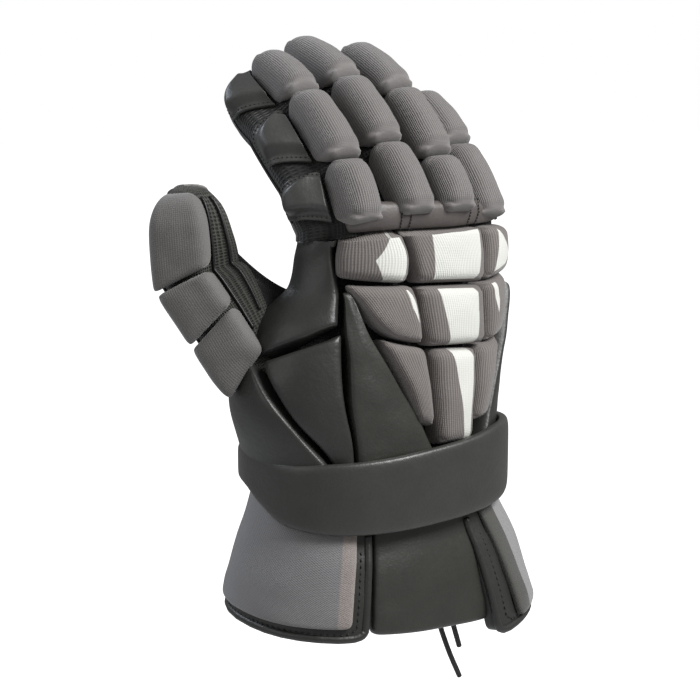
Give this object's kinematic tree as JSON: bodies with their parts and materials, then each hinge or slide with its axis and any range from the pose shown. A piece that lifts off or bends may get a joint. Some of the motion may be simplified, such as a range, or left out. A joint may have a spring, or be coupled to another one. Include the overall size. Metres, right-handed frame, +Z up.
{
  "type": "lacrosse glove",
  "caption": "Right-hand lacrosse glove with ribbed finger and back cushions, smooth side panels, wrist strap and a flared, laced cuff.",
  "frame": {"origin": "centre of the wrist, inside the strap", "axes": "+Z up towards the fingers, -Y the back of the hand, +Y the palm, -X the thumb side, +X the little-finger side"},
  "size_m": [0.1982, 0.1255, 0.3571],
  "materials": {
    "ribbed_textile": "ribbed matt textile over foam",
    "smooth_leather": "smooth satin synthetic leather over foam",
    "palm_leather": "matt perforated palm leather",
    "black_mesh": "matt knitted mesh",
    "cuff_textile": "fine matt textile over foam",
    "cuff_leather": "smooth satin synthetic leather over foam",
    "lace_braid": "braided cord"
  },
  "bodies": {
    "root": {"palm": "palm_leather", "index_gusset": "black_mesh", "middle_gusset": "black_mesh", "ring_gusset": "black_mesh", "pinky_gusset": "black_mesh", "thumb_gusset": "black_mesh", "index_pad_base": "ribbed_textile", "index_pad_mid": "ribbed_textile", "index_pad_tip": "ribbed_textile", "middle_pad_base": "ribbed_textile", "middle_pad_mid": "ribbed_textile", "middle_pad_tip": "ribbed_textile", "ring_pad_base": "ribbed_textile", "ring_pad_mid": "ribbed_textile", "ring_pad_tip": "ribbed_textile", "pinky_pad_base": "ribbed_textile", "pinky_pad_tip": "ribbed_textile", "hand_back": "black_mesh", "thumb_pad_base": "ribbed_textile", "thumb_pad_mid": "ribbed_textile", "thumb_pad_tip": "ribbed_textile", "index_side_base": "smooth_leather", "index_side_mid": "smooth_leather", "index_side_tip": "smooth_leather", "wrist_strap": "cuff_leather", "back_pad_1a": "ribbed_textile", "back_pad_1b": "ribbed_textile", "back_pad_1c": "ribbed_textile", "back_pad_2a": "ribbed_textile", "back_pad_2b": "ribbed_textile", "back_pad_2c": "ribbed_textile", "back_pad_3a": "ribbed_textile", "back_pad_3b": "ribbed_textile", "back_pad_3c": "ribbed_textile", "knuckle_band": "smooth_leather", "wedge_panel": "smooth_leather", "side_panel_upper": "smooth_leather", "side_panel_lower": "smooth_leather", "thumb_base_panel": "smooth_leather", "ulnar_panel": "smooth_leather", "cuff_centre_panel": "cuff_leather", "cuff_left_flap": "smooth_leather", "cuff_right_flap": "smooth_leather", "cuff_left_face": "cuff_textile", "cuff_right_face": "cuff_textile", "thumb_web": "black_mesh", "lace_bridge_1": "lace_braid", "lace_bridge_2": "lace_braid", "lace_short": "lace_braid", "lace_long": "lace_braid"}
  },
  "joints": []
}
